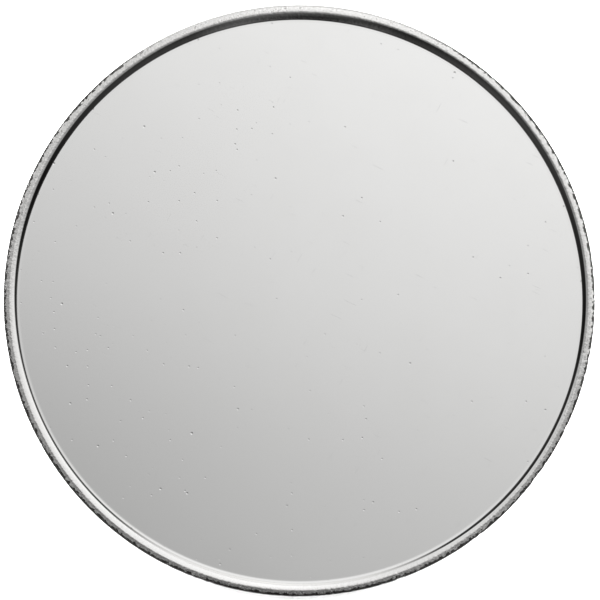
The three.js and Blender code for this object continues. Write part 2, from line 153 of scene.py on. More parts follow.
def draw_line(name, points):
    """A line of edges through the points, extruded one vertex at a time."""
    fresh_start()
    bpy.ops.mesh.primitive_plane_add(size=1, location=(0, 0, 0))
    obj = bpy.context.object
    obj.name = name
    to_edit(obj)
    bpy.ops.mesh.merge(type="CENTER")
    bpy.ops.transform.translate(value=points[0])
    for start, end in zip(points, points[1:]):
        step = Vector(end) - Vector(start)
        bpy.ops.mesh.extrude_vertices_move(TRANSFORM_OT_translate={"value": step})
    return obj


def close_up():
    bpy.ops.mesh.select_all(action="SELECT")
    bpy.ops.mesh.remove_doubles(threshold=MERGE_GAP)
    bpy.ops.mesh.normals_make_consistent(inside=False)


# %% Turn a profile
def turned(name, profile, steps, ring=False, along="Z", centre=(0, 0, 0)):
    """A profile of (radius, height) points turned about Z or X through the centre."""
    if ring:
        profile = [*profile, profile[0]]
    place = Vector(centre)
    if along == "Z":
        points = [place + Vector((radius, 0, height)) for radius, height in profile]
        axis = (0, 0, 1)
    else:
        points = [place + Vector((height, radius, 0)) for radius, height in profile]
        axis = (1, 0, 0)
    obj = draw_line(name, points)
    bpy.ops.mesh.select_all(action="SELECT")
    bpy.ops.mesh.spin(steps=steps, angle=2 * math.pi, center=place, axis=axis)
    close_up()
    bpy.ops.object.mode_set(mode="OBJECT")
    return obj


def arc(centre_radius, centre_height, radius, start, end, count):
    """Profile points on an arc, from one angle to another in degrees."""
    made = []
    for i in range(count + 1):
        angle = math.radians(start + (end - start) * i / count)
        made.append(
            (centre_radius + radius * math.cos(angle), centre_height + radius * math.sin(angle))
        )
    return made


# %% [markdown]
# Modifiers do the sums that a hand would find slow: a boolean drills and slots, and a bevel breaks
# every sharp edge. Each is applied at once, so the finished mesh is plain geometry.


# %% Modifiers, applied
def apply_modifier(obj, kind, **settings):
    pick(obj)
    modifier = obj.modifiers.new(kind.lower(), kind)
    for key, value in settings.items():
        setattr(modifier, key, value)
    bpy.ops.object.modifier_apply(modifier=modifier.name)


def cut_away(obj, *cutters):
    for cutter in cutters:
        apply_modifier(obj, "BOOLEAN", object=cutter, operation="DIFFERENCE", solver="EXACT")
        bpy.data.objects.remove(cutter)


def break_edges(obj, width, segments=2, angle=35):
    apply_modifier(
        obj,
        "BEVEL",
        width=width,
        segments=segments,
        limit_method="ANGLE",
        angle_limit=math.radians(angle),
        use_clamp_overlap=True,
        harden_normals=False,
    )


def peg(x, y, radius, low, high, sides=32):
    """A round cutter standing along Z."""
    fresh_start()
    bpy.ops.mesh.primitive_cylinder_add(
        vertices=sides, radius=radius, depth=high - low, location=(x, y, (low + high) / 2)
    )
    cutter = bpy.context.object
    bpy.ops.object.transform_apply(location=True, rotation=False, scale=False)
    return cutter


# %% [markdown]
# ## Helpers for finishes
# A finish reads the coordinates in which its piece was drawn, in millimetres. They are kept on the
# mesh as the attribute drawn_mm before the piece is stood up, so grain and brushing follow the
# piece, and every screw has its own turning marks round its own middle.


# %% Build a node finish
class Finish:
    """A material with one Principled shader, built up node by node."""

    def __init__(self, name, color, metallic, roughness, **sockets):
        self.material = bpy.data.materials.new(name)
        self.material.use_nodes = True
        self.tree = self.material.node_tree
        self.shader = self.tree.nodes["Principled BSDF"]
        self.set(self.shader, "Base Color", (*color, 1))
        self.set(self.shader, "Metallic", metallic)
        self.set(self.shader, "Roughness", roughness)
        for socket, value in sockets.items():
            self.set(self.shader, socket.replace("_", " "), value)
        drawn = self.tree.nodes.new("ShaderNodeAttribute")
        drawn.attribute_name = "drawn_mm"
        self.drawn = drawn.outputs["Vector"]

    def set(self, node, socket, value):
        target = node.inputs[socket]
        if isinstance(value, bpy.types.NodeSocket):
            self.tree.links.new(value, target)
        else:
            target.default_value = value

    def node(self, kind, inputs, output=0, **settings):
        made = self.tree.nodes.new("ShaderNode" + kind)
        for key, value in settings.items():
            setattr(made, key, value)
        for socket, value in inputs.items():
            self.set(made, socket, value)
        return made.outputs[output]

    def mapped(self, scale=(1, 1, 1), turn_z=0.0):
        return self.node(
            "Mapping", {"Vector": self.drawn, "Scale": scale, "Rotation": (0, 0, turn_z)}
        )

    def noise(self, scale, detail=4.0, rough=0.5, vector=None, distortion=0.0):
        return self.node(
            "TexNoise",
            {
                "Vector": vector or self.drawn,
                "Scale": scale,
                "Detail": detail,
                "Roughness": rough,
                "Distortion": distortion,
            },
        )

    def ranged(self, value, low, high, to_low=0.0, to_high=1.0, smooth=False):
        return self.node(
            "MapRange",
            {
                "Value": value,
                "From Min": low,
                "From Max": high,
                "To Min": to_low,
                "To Max": to_high,
            },
            interpolation_type="SMOOTHSTEP" if smooth else "LINEAR",
        )

    def maths(self, operation, first, second=0.0, clamp=False):
        return self.node("Math", {0: first, 1: second}, operation=operation, use_clamp=clamp)

    def mix(self, share, first, second):
        made = self.tree.nodes.new("ShaderNodeMix")
        made.data_type = "RGBA"
        for index, value in ((0, share), (6, first), (7, second)):
            if isinstance(value, bpy.types.NodeSocket):
                self.tree.links.new(value, made.inputs[index])
            elif index == 0:
                made.inputs[index].default_value = value
            else:
                made.inputs[index].default_value = (*value, 1)
        return made.outputs[2]

    def bump(self, height, distance, strength=1.0):
        inputs = {"Height": height, "Distance": distance * MM, "Strength": strength}
        return self.node("Bump", inputs)

    def radius(self):
        """Distance from the Z axis of the drawing."""
        parts = self.tree.nodes.new("ShaderNodeSeparateXYZ")
        self.set(parts, "Vector", self.drawn)
        squares = [self.maths("MULTIPLY", parts.outputs[i], parts.outputs[i]) for i in (0, 1)]
        return self.maths("SQRT", self.maths("ADD", *squares))

    def height(self):
        """Height above the back of the pads."""
        return self.node("SeparateXYZ", {"Vector": self.drawn}, output=2)

    def to(self, **sockets):
        for socket, value in sockets.items():
            self.set(self.shader, socket.replace("_", " "), value)
        return self


# %% [markdown]
# The last step for every piece is the same: smooth it, keep its drawn coordinates, stand it up,
# give it its finish, and let it ride on its body in place of its CAD node.


# %% Put a finished piece in its place
FACE_WEIGHT = 60  # how far a broad face rules the normals at its edges


def put(obj, name, node, body, finish, smooth=35, opened=False, at=(0, 0)):
    pick(obj)
    bpy.ops.object.shade_smooth_by_angle(angle=math.radians(smooth))
    apply_modifier(obj, "WEIGHTED_NORMAL", weight=FACE_WEIGHT, keep_sharp=True)
    obj.name = name
    obj.data.name = name
    drawn = obj.data.attributes.new("drawn_mm", "FLOAT_VECTOR", "POINT")
    flat = [c for vertex in obj.data.vertices for c in vertex.co]
    drawn.data.foreach_set("vector", flat)
    place = Matrix.Translation((at[0], at[1], 0))
    obj.matrix_world = (STAND_LEG if opened else STAND) @ place
    bpy.ops.object.transform_apply(location=True, rotation=True, scale=True)
    obj.data.materials.clear()
    obj.data.materials.append(finish.material)
    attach(obj, body)
    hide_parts(node)
    print(name, "has", len(obj.data.polygons), "faces")
    return obj


def twin(obj):
    """A copy with its own mesh."""
    pick(obj)
    bpy.ops.object.duplicate(linked=False)
    return bpy.context.object


# %% [markdown]
# ## The bezel
# The bezel is a drawn and rolled ring: a half-round bead that stands over the round's edge, and a
# thin skirt that grips the case. It is turned with many steps, because fine reeding runs round the
# skirt. Handling has worn the reeding's top ends into the bead and left small dents along it.

# %% The bead's sizes
BEAD_RADIUS = 0.46
BEAD_MIDDLE = 20.54
FOOT_RADIUS = BEAD_MIDDLE - BEAD_RADIUS
REEDS = 264
STEPS_PER_REED = 5


def foot_radius(around):
    """Radius of the bead's foot. Rolling left it about a tenth of a millimetre uneven."""
    first = 0.031 * math.cos(around) - 0.083 * math.sin(around)
    second = 0.027 * math.cos(2 * around) - 0.024 * math.sin(2 * around)
    return FOOT_RADIUS - 0.039 + first + second


print("bead", 2 * BEAD_RADIUS, "mm wide, its foot at", round(foot_radius(0), 2), "mm")

# %% Turn the bezel
bezel_profile = [
    *arc(BEAD_MIDDLE, BEAD_LEVEL, BEAD_RADIUS, 0, 180, 22),
    (20.1, 7.245),
    (20.6, 7.245),
    (20.66, 7.18),
    (20.66, 3.78),
    (20.74, 3.62),
    (20.82, 3.6),
    (20.92, 3.63),
    (20.98, 3.7),
    (21.0, 3.8),
    (20.99, 3.95),
    (20.96, 4.05),
    (20.96, 4.6),
    (20.96, 5.4),
    (20.96, 6.1),
    (20.97, 6.4),
    (20.98, 6.6),
    (20.99, 6.8),
    (21.0, 7.0),
]
bezel = turned("bezel", bezel_profile, REEDS * STEPS_PER_REED, ring=True)
print("bezel turned with", len(bezel.data.vertices), "points")

# %% [markdown]
# Handling dents the bead. The dents are small and shallow, and placed by a seeded draw, so that
# every run gives the same ring. They are filed by sector, so that each point meets only the few
# that could reach it.


# %% Draw where the dents are
DENTS = 90
SECTORS_PER_RADIAN = 20


def sector_of(place):
    return round(math.atan2(place.y, place.x) * SECTORS_PER_RADIAN)


draw = random.Random(7)
near_dents = {}
for _ in range(DENTS):
    around = draw.uniform(0, 2 * math.pi)
    over = math.radians(draw.uniform(5, 150))
    middle = BEAD_MIDDLE + BEAD_RADIUS * math.cos(over)
    level = BEAD_LEVEL + BEAD_RADIUS * math.sin(over)
    place = Vector((middle * math.cos(around), middle * math.sin(around), level))
    dent = (place, draw.uniform(0.06, 0.2), draw.uniform(0.006, 0.03))
    for neighbour in (-1, 0, 1):
        near_dents.setdefault(sector_of(place) + neighbour, []).append(dent)
print("dents fall in or beside", len(near_dents), "sectors")

# %% [markdown]
# The wear is put on point by point, as with a sculpting brush. Each reed is a shallow groove that
# fades at both ends of the skirt. At the top a smooth noise decides how far it runs into the bead,
# and nicks are deepest at the lower right. The distance from the bead's foot is kept on the mesh,
# for the painted shade in the crease.


# %% Reed and wear the bezel
REED_DEPTH = 0.05
NICK_DEPTH = 0.045


def smooth_step(value, low, high):
    share = min(1.0, max(0.0, (value - low) / (high - low)))
    return share * share * (3 - 2 * share)


for vertex in bezel.data.vertices:
    spot = vertex.co
    radius = math.hypot(spot.x, spot.y)
    around = math.atan2(spot.y, spot.x)
    outward = Vector((spot.x / radius, spot.y / radius, 0))
    inner = (1 - smooth_step(radius, 20.08, 20.5)) * smooth_step(spot.z, 7.0, 7.2)
    vertex.co += outward * (foot_radius(around) - FOOT_RADIUS) * inner
    if radius < 20.69 and spot.z < BEAD_LEVEL + 0.02:
        continue
    groove = 0.5 - 0.5 * math.cos(REEDS * around)
    uneven = noise.noise(Vector((spot.x * 0.35, spot.y * 0.35, 3.0)))
    fine = noise.noise(Vector((spot.x * 2.3, spot.y * 2.3, 9.0)))
    reach = 6.75 + 0.75 * max(0.0, uneven * 0.9 + fine * 0.8)
    low_side = 0.5 + 0.5 * math.cos(around + math.radians(35))
    depth = REED_DEPTH * smooth_step(spot.z, 3.9, 4.2)
    depth *= 1 - smooth_step(spot.z, reach - 0.35, reach)
    outer = smooth_step(radius, 20.72, 20.9)
    vertex.co -= outward * groove * depth * outer
    nick = smooth_step(fine * 0.7 + uneven * 0.5, 0.1, 0.5) * low_side * outer
    vertex.co -= outward * nick * NICK_DEPTH * smooth_step(spot.z, 6.9, 7.25)
    vertex.co.z += 0.008 * uneven * smooth_step(spot.z, 7.2, 7.6)
    for place, size, sink in near_dents.get(round(around * SECTORS_PER_RADIAN), ()):
        gap = (vertex.co - place).length
        if gap < size:
            vertex.co.z -= sink * (1 - gap / size) ** 2
from_foot = bezel.data.attributes.new("from_foot", "FLOAT", "POINT")
for vertex, entry in zip(bezel.data.vertices, from_foot.data):
    around = math.atan2(vertex.co.y, vertex.co.x)
    entry.value = math.hypot(vertex.co.x, vertex.co.y) - foot_radius(around)
print("reeded and wore the bezel with", REEDS, "reeds and", DENTS, "dents")

# %% [markdown]
# The bezel's metal is a bright nickel finish. Shade is painted into the crease at the bead's foot,
# the outermost edge is painted dark, partly as dulled wear and partly as painted shade, and fine
# pits and soft marks catch the light. Masks made from the distance to the axis, the height and the
# side of the ring say where each belongs. The painted shade in the crease is widest at the top
# right and a fine line elsewhere, fainter at the very top and absent at the very bottom.

# %% Painted shade in the bead's crease
polish = Finish("worn nickel polish with painted shade", (0.84, 0.835, 0.82), 1.0, 0.1)


def facing(finish, degrees):
    """1 on the side of the ring that lies at that angle from X, -1 on the side across from it."""
    way = (math.cos(math.radians(degrees)), math.sin(math.radians(degrees)), 0)
    flat = finish.node("VectorMath", {0: finish.drawn, 1: (1, 1, 0)}, operation="MULTIPLY")
    unit = finish.node("VectorMath", {0: flat}, operation="NORMALIZE")
    return finish.node("VectorMath", {0: unit, 1: way}, output="Value", operation="DOT_PRODUCT")


from_axis = polish.radius()
from_foot = polish.node("Attribute", {}, output="Fac", attribute_name="from_foot")
# This mask says where shade is painted at the bead's foot: a band widest at the top right, a fine
# line elsewhere.
crease_side = facing(polish, 65)
reach_right = polish.maths("MULTIPLY", crease_side, 0.1)
reach_left = polish.maths("MULTIPLY", crease_side, 0.24)
reach = polish.maths("ADD", 20.3, polish.maths("MINIMUM", reach_right, reach_left))
band = polish.ranged(polish.maths("SUBTRACT", reach, from_axis), -0.04, 0.04, smooth=True)
right_side = polish.ranged(facing(polish, -15), 0.6, 0.95, 0.0, 0.08, smooth=True)
line = polish.ranged(polish.maths("SUBTRACT", from_foot, right_side), 0.11, 0.07, smooth=True)
crease = polish.maths("MAXIMUM", band, line)
# The painted shade is left off at the very bottom and made fainter at the very top.
no_crease_shade_low = polish.ranged(facing(polish, 265), 0.96, 0.8, smooth=True)
less_crease_shade_top = polish.ranged(facing(polish, 90), 0.92, 1.0, 1.0, 0.45, smooth=True)
crease = polish.maths("MULTIPLY", polish.maths("MULTIPLY", crease, no_crease_shade_low), less_crease_shade_top)
print("the crease's mask has", len(polish.tree.nodes), "nodes")

# %% [markdown]
# The outer edge is painted dark in broken dashes, partly as dulled wear and partly as painted
# shade, because a streaky noise moves the mask's border in and out. The top, where the light
# falls, stays bright, the dark edge reaches further in at the bottom, and the lower left is
# scuffed most.

# %% Dull edge with painted shade, and scuffs
streaks = polish.noise(3.0, detail=4.0, rough=0.7)
patchy = polish.ranged(streaks, 0.38, 0.58, 0.0, 0.19)
# At the bottom the dark edge reaches further in: painted shade.
worn_and_shaded_low = polish.ranged(facing(polish, 260), 0.0, 0.8, 0.0, 0.05, smooth=True)
patchy = polish.maths("ADD", patchy, worn_and_shaded_low)
edge = polish.ranged(polish.maths("ADD", from_axis, patchy), 20.92, 20.95, smooth=True)
# The dark edge is left off the top, where the light falls: it is partly painted shade.
dulled_and_shaded_side = polish.ranged(facing(polish, 92), 0.95, 0.78, 0.0, 1.0, smooth=True)
edge = polish.maths("MULTIPLY", edge, dulled_and_shaded_side)
height = polish.height()
on_bead = polish.ranged(height, 6.85, 7.1, smooth=True)
edge = polish.maths("MULTIPLY", edge, on_bead)
outer_wall = polish.ranged(from_axis, 20.52, 20.72, smooth=True)
outer_wall = polish.maths("MULTIPLY", outer_wall, on_bead)
low_side = polish.ranged(facing(polish, 245), -0.2, 0.7, smooth=True)
scuffed = polish.maths("MULTIPLY", outer_wall, polish.ranged(low_side, 0, 1, 0.25, 1.0))
print("with the edge's it has", len(polish.tree.nodes))

# %% [markdown]
# The colours are laid over one another like coats: blotches and pits in the nickel, then the dull
# edge with its painted shade, the darker bottoms of the reeds, and last the painted shade in the
# crease, paler towards the top.

# %% Bezel colours
NICKEL = (0.86, 0.855, 0.845)
BLOTCHED = (0.66, 0.65, 0.63)
PITTED = (0.3, 0.29, 0.28)
# The dark edge's colour: dulled wear and painted shade.
DULL_SHADED_EDGE = (0.05, 0.048, 0.045)
# Darker colour for the bottoms of the reeds.
DARK_REED_BOTTOMS = (0.2, 0.19, 0.175)
# Painted shade in the crease, and a paler painted shade for its upper side.
CREASE_SHADE = (0.018, 0.018, 0.017)
CREASE_PALER_SHADE = (0.13, 0.128, 0.125)

grain = polish.noise(9.0, detail=6.0, rough=0.65)
pits = polish.ranged(polish.noise(4.5, detail=3.0, rough=0.7), 0.58, 0.68)
outward_share = polish.ranged(from_axis, 20.35, 20.6, 0.15, 1.0, smooth=True)
blotches = polish.maths("MULTIPLY", polish.ranged(grain, 0.35, 0.7, 0.0, 0.6), outward_share)
tone = polish.mix(blotches, NICKEL, BLOTCHED)
pitted = polish.maths("MULTIPLY", polish.maths("MULTIPLY", pits, 0.5), outward_share)
tone = polish.mix(pitted, tone, PITTED)
tone = polish.mix(polish.maths("MULTIPLY", edge, 0.95), tone, DULL_SHADED_EDGE)
# The bottoms of the reeds, below the bead, are made darker.
in_reeds = polish.ranged(from_axis, 20.955, 20.915, 0.0, 0.55)
below_bead = polish.ranged(height, 6.7, 6.2, smooth=True)
in_reeds = polish.maths("MULTIPLY", in_reeds, below_bead)
in_reeds = polish.maths("MULTIPLY", in_reeds, polish.ranged(from_axis, 20.8, 20.86))
tone = polish.mix(in_reeds, tone, DARK_REED_BOTTOMS)
# Towards the top, a little to the right, the crease's painted shade is paler.
dust_and_paler_shade = polish.ranged(facing(polish, 75), 0.2, 0.9)
tone = polish.mix(crease, tone, polish.mix(dust_and_paler_shade, CREASE_SHADE, CREASE_PALER_SHADE))
print("the bezel is coloured in", len(polish.tree.nodes), "nodes")

# %% Bezel relief, and the bezel in place
rough = polish.ranged(grain, 0.3, 0.75, 0.08, 0.2)
rough = polish.maths("ADD", rough, polish.maths("MULTIPLY", scuffed, 0.12))
hammered = polish.maths("SUBTRACT", polish.noise(4.2, detail=2.5, rough=0.6), 0.5)
fine_marks = polish.maths("MULTIPLY", polish.maths("SUBTRACT", grain, 0.5), 0.4)
relief = polish.maths("ADD", fine_marks, hammered)
relief = polish.maths("SUBTRACT", relief, polish.maths("MULTIPLY", pits, 0.1))
relief = polish.maths("MULTIPLY", relief, polish.ranged(scuffed, 0, 1, 0.45, 2.1))
polish.to(Base_Color=tone, Roughness=rough, Normal=polish.bump(relief, 0.03, 1.0))
bezel = put(bezel, "reeded_bezel", "front_bezel", "bezel", polish, smooth=60)

# %% [markdown]
# ## The round
# The blank round is struck from sheet and polished on both faces, with its edges eased. Turning it
# from a short profile gives true round edges. Upsetting the edge has left a shallow cove, too low
# to feel, just inside the bead. It catches light as a fine line.

# %% Turn the round
DISC_RADIUS = 20.3
DISC_BACK = 4.3
DISC_FRONT = 7.2
EASE = 0.1
rim = DISC_RADIUS - EASE
COVE_START = FOOT_RADIUS - 0.22
COVE_STEPS = (0.24, 0.2, 0.16, 0.12, 0.08, 0.04, 0)
cove = [(COVE_START + step, DISC_FRONT + 0.8 * min(step, 0.2) ** 2) for step in COVE_STEPS]
disc_profile = [
    (0, DISC_BACK),
    (12, DISC_BACK),
    (rim - 0.3, DISC_BACK),
    (rim - 0.03, DISC_BACK),
    *arc(rim, DISC_BACK + EASE, EASE, -90, 0, 6),
    (DISC_RADIUS, DISC_BACK + EASE + 0.05),
    (DISC_RADIUS, 5.75),
    (DISC_RADIUS, DISC_FRONT - EASE - 0.05),
    *arc(rim, cove[0][1] - EASE, EASE, 0, 90, 6),
    *cove,
    (COVE_START - 0.1, DISC_FRONT),
    (12, DISC_FRONT),
    (0, DISC_FRONT),
]
disc = turned("disc", disc_profile, 360)
for vertex in disc.data.vertices:
    radius = math.hypot(vertex.co.x, vertex.co.y)
    around = math.atan2(vertex.co.y, vertex.co.x)
    share = smooth_step(radius, 19.6, 19.8) * (1 - smooth_step(radius, 20.14, 20.2))
    if radius > COVE_START and vertex.co.z > DISC_FRONT:
        low_side = 0.5 - 0.5 * math.sin(around)
        vertex.co.z = DISC_FRONT + (vertex.co.z - DISC_FRONT) * (0.06 + 0.44 * low_side**4)
    shift = (foot_radius(around) - FOOT_RADIUS) * share * smooth_step(vertex.co.z, 7.1, 7.19)
    vertex.co += Vector((math.cos(around), math.sin(around), 0)) * shift
print("the round is", 2 * DISC_RADIUS, "mm across and", round(DISC_FRONT - DISC_BACK, 2), "thick")

# %% [markdown]
# A polished face is never perfect: dust-size pits, a few hairlines and a faint unevenness of the
# polish. Each speck sits in a cell of its own. A random number in each cell decides whether it has
# one, and a broad noise raises that chance, so they gather in loose clusters.


# %% Specks and hairlines
def specks(finish, spread, size, share, seed):
    """1 in a small round spot in some cells, and 0 elsewhere."""
    moved = (seed * 7.3, seed * 3.1, 0)
    shifted = finish.node(
        "Mapping", {"Vector": finish.drawn, "Location": moved, "Scale": (1, 1, 0)}
    )
    cell = finish.tree.nodes.new("ShaderNodeTexVoronoi")
    cell.voronoi_dimensions = "2D"
    finish.set(cell, "Vector", shifted)
    finish.set(cell, "Scale", 1 / spread)
    chance = finish.node("SeparateColor", {"Color": cell.outputs["Color"]})
    other = finish.node("SeparateColor", {"Color": cell.outputs["Color"]}, output=1)
    wanted = finish.maths("LESS_THAN", chance, share)
    reach = finish.ranged(other, 0, 1, size * 0.5 / spread, size / spread)
    inside = finish.maths("SUBTRACT", reach, cell.outputs["Distance"])
    spot = finish.maths("MULTIPLY", inside, 40.0, clamp=True)
    return finish.maths("MULTIPLY", spot, wanted)


def hairlines(finish, angle, length, width, level):
    """Thin straight scratches in one direction, broken into short runs."""
    turned_flat = finish.mapped(turn_z=math.radians(angle))
    stretch = (1 / length, 1 / width, 1)
    drawn_out = finish.node("Mapping", {"Vector": turned_flat, "Scale": stretch})
    return finish.ranged(finish.noise(1.0, detail=1.0, vector=drawn_out), level, level + 0.04)


mirror = Finish("mirror polish", (0.87, 0.868, 0.86), 1.0, 0.08)
clusters = mirror.noise(0.14, detail=2.0)
thick = mirror.ranged(clusters, 0.4, 0.6, 0.1, 0.4)
left_side = mirror.ranged(facing(mirror, 190), -0.6, 0.8, 0.35, 1.6, smooth=True)
share = mirror.maths("MULTIPLY", thick, left_side)
small = specks(mirror, 1.3, 0.07, share, 1)
large = mirror.maths("MULTIPLY", specks(mirror, 3.2, 0.1, share, 2), 0.7)
height = mirror.height()
on_faces = mirror.maths(
    "MAXIMUM", mirror.ranged(height, 7.17, 7.19), mirror.ranged(height, 4.33, 4.31)
)
spots = mirror.maths("MULTIPLY", mirror.maths("MAXIMUM", small, large), on_faces)
long_lines = hairlines(mirror, 25, 2.0, 0.05, 0.775)
short_lines = hairlines(mirror, -62, 1.6, 0.05, 0.785)
lines = mirror.maths("MAXIMUM", long_lines, short_lines)
lines = mirror.maths("MULTIPLY", lines, on_faces)
print("specks and hairlines take", len(mirror.tree.nodes), "nodes")

# %% Mirror polish, and the round in place
haze = mirror.noise(0.22, detail=5.0, rough=0.6)
hazy = mirror.ranged(haze, 0.3, 0.7, 0.0, 0.25)
tone = mirror.mix(hazy, (0.87, 0.868, 0.86), (0.84, 0.836, 0.822))
tone = mirror.mix(mirror.maths("MULTIPLY", spots, 0.05), tone, (0.35, 0.34, 0.32))
tone = mirror.mix(mirror.maths("MULTIPLY", lines, 0.1), tone, (0.6, 0.6, 0.59))
rough = mirror.ranged(haze, 0.3, 0.7, 0.07, 0.1)
rough = mirror.maths("ADD", rough, mirror.maths("MULTIPLY", spots, 0.2))
sunk = mirror.maths("ADD", spots, mirror.maths("MULTIPLY", lines, 0.08))
relief = mirror.maths("SUBTRACT", mirror.maths("MULTIPLY", haze, 0.02), sunk)
mirror.to(Base_Color=tone, Roughness=rough, Normal=mirror.bump(relief, 0.015, 1.0))
disc = put(disc, "blank_round", "display_disc", "disc", mirror, smooth=30)

# %% [markdown]
# ## The case
# The case is a shallow cup drawn from sheet: a flange below, a thin wall with a slight ridge for
# the bezel to grip, and rounded corners where the sheet bends. Four clearance holes are then
# drilled through its floor.

# %% Turn and drill the case
SCREW_CIRCLE = 17.9
SCREW_DEGREES = (58, 122, 238, 302)
screw_places = [
    (SCREW_CIRCLE * math.cos(math.radians(d)), SCREW_CIRCLE * math.sin(math.radians(d)))
    for d in SCREW_DEGREES
]
case_profile = [
    (0, 2.8),
    (10, 2.8),
    *arc(20.6, 3.0, 0.2, -90, 0, 4),
    *arc(20.74, 3.44, 0.06, 0, 90, 3),
    (20.68, 3.5),
    *arc(20.7, 3.58, 0.08, 250, 180, 3),
    (20.62, 4.9),
    (20.645, 5.1),
    (20.645, 5.3),
    (20.62, 5.5),
    (20.62, 6.8),
    *arc(20.54, 6.84, 0.08, 0, 90, 3),
    *arc(20.4, 6.87, 0.05, 90, 180, 3),
    (20.35, 3.5),
    *arc(20.25, 3.5, 0.1, 0, -90, 3),
    (10, 3.4),
    (0, 3.4),
]
case = turned("case", case_profile, 288)
cut_away(case, *[peg(x, y, 0.55, 2.5, 3.7) for x, y in screw_places])
print("case drilled at", [(round(x, 1), round(y, 1)) for x, y in screw_places])

# %% [markdown]
# The case keeps fine rings from the spinning tool that finished it. A noise read along the
# distance from the axis gives them, and a second one along the height marks the wall.

# %% Case finish
spun = Finish("spun steel", (0.66, 0.66, 0.65), 1.0, 0.3)
outward = spun.maths("MULTIPLY", spun.radius(), 14.0)
along_radius = spun.node("CombineXYZ", {"X": outward, "Z": spun.noise(0.4)})
ring_lines = spun.noise(1.0, detail=3.0, vector=along_radius)
height_lines = spun.noise(1.0, detail=3.0, vector=spun.mapped(scale=(0.3, 0.3, 16)))
lathe = spun.maths("ADD", ring_lines, height_lines)
tone = spun.mix(spun.ranged(spun.noise(0.5), 0.3, 0.7), (0.68, 0.68, 0.67), (0.58, 0.58, 0.57))
spun.to(
    Base_Color=tone,
    Roughness=spun.ranged(lathe, 0.6, 1.4, 0.24, 0.4),
    Normal=spun.bump(lathe, 0.015, 0.5),
    Anisotropic=0.4,
)
case = put(case, "spun_case", "case_body", "case", spun)

# %% [markdown]
# ## Foam and felt
# The foam pad is a disc of closed-cell foam with a hole punched round each nut. Its edges bulge a
# little where the round presses on it. It is turned and punched, and its finish gives it the skin
# of fine cells.

# %% Make the foam pad
foam_profile = [
    (0, 3.43),
    (5, 3.43),
    (10, 3.43),
    (15, 3.43),
    *arc(19.9, 3.71, 0.28, -90, 90, 8),
    (15, 3.99),
    (10, 3.99),
    (5, 3.99),
    (0, 3.99),
]
foam = turned("foam", foam_profile, 144)
cut_away(foam, *[peg(x, y, 1.5, 3.2, 4.2, 40) for x, y in screw_places])
break_edges(foam, 0.05, segments=2, angle=50)

closed_cell = Finish("closed-cell foam", (0.1, 0.1, 0.11), 0.0, 0.92)
cells = closed_cell.node("TexVoronoi", {"Vector": closed_cell.drawn, "Scale": 5.0})
mottle = closed_cell.noise(1.2, detail=3.0)
tone = closed_cell.mix(closed_cell.ranged(mottle, 0.3, 0.7), (0.09, 0.09, 0.1), (0.14, 0.14, 0.15))
tone = closed_cell.mix(closed_cell.ranged(cells, 0.25, 0.0, 0.0, 0.6), tone, (0.04, 0.04, 0.045))
closed_cell.to(Base_Color=tone, Normal=closed_cell.bump(cells, 0.06, 0.6))
foam = put(foam, "foam_pad", "foam_cushion", "case", closed_cell)

# %% [markdown]
# The felt is a real sheet: a round 40.2 mm across, cut from pressed felt and laid on the foam. It
# is drawn as one surface of rings, ruffled, cut a little raggedly, and given its thickness at the
# end.


# %% Cut the felt
def ruffle(obj, amount, scale, seed=0.0):
    """Moves each point a little along its normal, by a smooth noise."""
    for vertex in obj.data.vertices:
        wave = noise.noise(vertex.co * scale + Vector((seed, seed, seed)))
        vertex.co += vertex.normal * wave * amount


FELT_RADIUS = 20.1
FELT_MIDDLE = 4.15
FELT_THICKNESS = 0.2
RINGS = 36
felt = turned("felt", [(FELT_RADIUS * i / RINGS, FELT_MIDDLE) for i in range(RINGS + 1)], 180)
ruffle(felt, 0.05, 1.3, seed=2.0)
for vertex in felt.data.vertices:
    if math.hypot(vertex.co.x, vertex.co.y) > FELT_RADIUS - 0.1:
        vertex.co *= 1 - 0.002 * abs(noise.noise(vertex.co * 2.7))
apply_modifier(felt, "SOLIDIFY", thickness=FELT_THICKNESS, offset=0.0)

pressed = Finish("pressed black felt", (0.02, 0.02, 0.023), 0.0, 0.95, Sheen_Weight=0.5)
pressed.set(pressed.shader, "Sheen Roughness", 0.5)
warped = pressed.noise(1.6, detail=2.0)
fibres = pressed.noise(5.0, detail=8.0, rough=0.7, distortion=2.2)
tone = pressed.mix(pressed.ranged(fibres, 0.35, 0.65), (0.014, 0.014, 0.017), (0.045, 0.045, 0.05))
tone = pressed.mix(pressed.ranged(warped, 0.4, 0.8, 0.0, 0.3), tone, (0.06, 0.06, 0.065))
pressed.to(Base_Color=tone, Normal=pressed.bump(fibres, 0.08, 0.8))
felt = put(felt, "felt_sheet", "felt_liner", "case", pressed)
print("felt is", 2 * FELT_RADIUS, "mm across")

# %% [markdown]
# ## The back cover, the leg and the bracket
# These, and the leg's rubber foot, have outlines that the CAD model already draws exactly. A copy
# of each is brought back to its flat drawing, its doubled points are merged, and its level faces
# are made whole. A bevel then breaks the sharp edges, as casting, stamping and tumbling do.


# %% Soften a CAD piece
CAD_MERGE_GAP = 2e-3  # millimetres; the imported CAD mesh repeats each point, slightly rounded
FLAT_ANGLE = math.radians(0.8)  # faces that are this level with each other are one face


